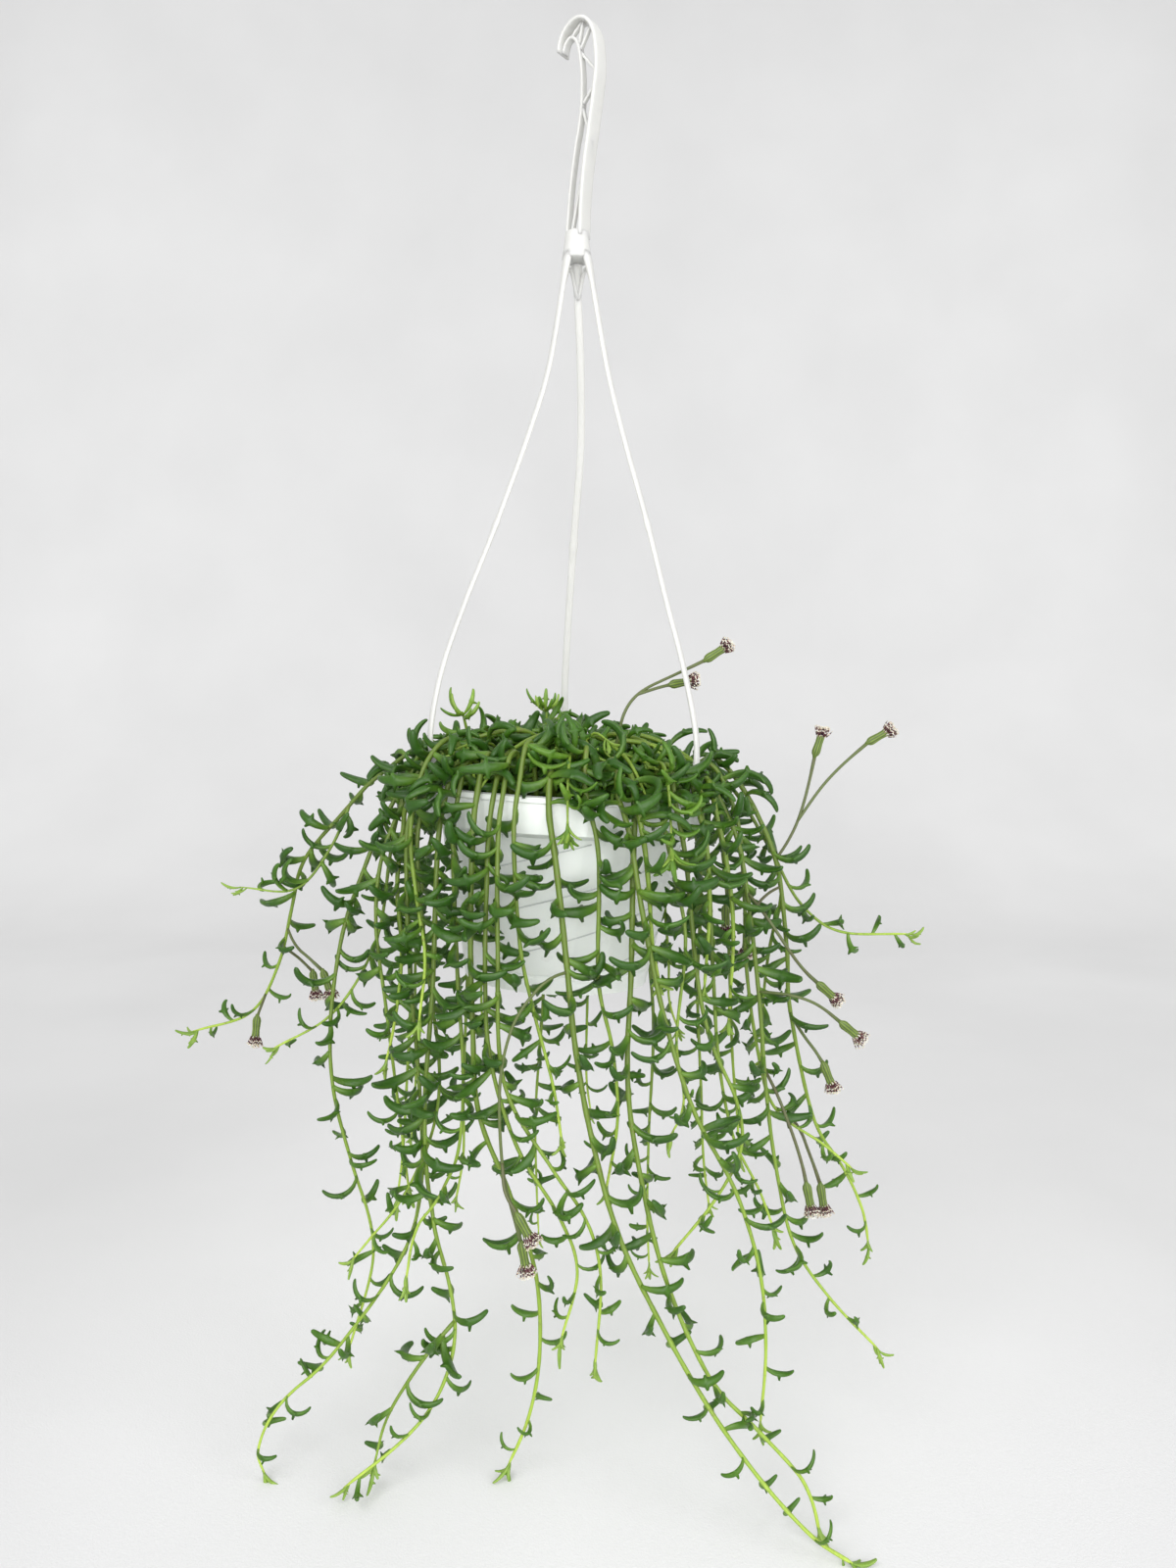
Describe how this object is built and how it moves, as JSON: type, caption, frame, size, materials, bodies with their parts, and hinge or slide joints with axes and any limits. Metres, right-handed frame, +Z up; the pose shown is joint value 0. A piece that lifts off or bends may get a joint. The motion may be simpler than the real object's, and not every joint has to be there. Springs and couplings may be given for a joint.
{
  "type": "potted string of dolphins",
  "caption": "White hanging pot on a hooked plastic hanger, filled with a trailing succulent of crescent, finned leaves and small brush-like flower heads.",
  "frame": {"origin": "top of the inside of the hook, where it rests on what it hangs from", "axes": "+Z up, -Y towards the front of the plant, +X to the right seen from the front"},
  "size_m": [0.463, 0.2928, 0.8045],
  "materials": {
    "pot_plastic": "thin white moulded plastic, slightly greenish, satin",
    "hanger_plastic": "white moulded plastic, satin",
    "soil": "dark damp peat compost",
    "leaf": "smooth fleshy green leaf and stem, faintly waxy",
    "floret": "cream florets with dark purple-brown tips"
  },
  "bodies": {
    "root": {"pot": "pot_plastic", "soil": "soil", "hanger": "hanger_plastic", "crown": "leaf", "stem_left_01": "leaf", "stem_left_02": "leaf", "stem_left_03": "leaf", "stem_left_04": "leaf", "stem_left_05": "leaf", "stem_left_06": "leaf", "stem_front_01": "leaf", "stem_front_02": "leaf", "stem_front_03": "leaf", "stem_front_04": "leaf", "stem_front_05": "leaf", "stem_front_06": "leaf", "stem_front_07": "leaf", "stem_front_08": "leaf", "stem_front_09": "leaf", "stem_front_10": "leaf", "stem_front_11": "leaf", "stem_front_12": "leaf", "stem_front_13": "leaf", "stem_right_01": "leaf", "stem_right_02": "leaf", "stem_right_03": "leaf", "stem_right_04": "leaf", "stem_right_05": "leaf", "stem_back_01": "leaf", "stem_back_02": "leaf", "stem_back_03": "leaf", "stem_back_04": "leaf", "stem_back_05": "leaf", "stem_back_06": "leaf", "stem_back_07": "leaf", "stem_back_08": "leaf", "stem_back_09": "leaf", "stem_back_10": "leaf", "florets_01": "floret", "florets_02": "floret", "florets_03": "floret", "florets_04": "floret", "florets_05": "floret", "florets_06": "floret", "florets_07": "floret", "florets_08": "floret", "florets_09": "floret", "florets_10": "floret", "florets_11": "floret", "florets_12": "floret", "florets_13": "floret", "florets_14": "floret", "florets_15": "floret", "florets_16": "floret"}
  },
  "joints": []
}
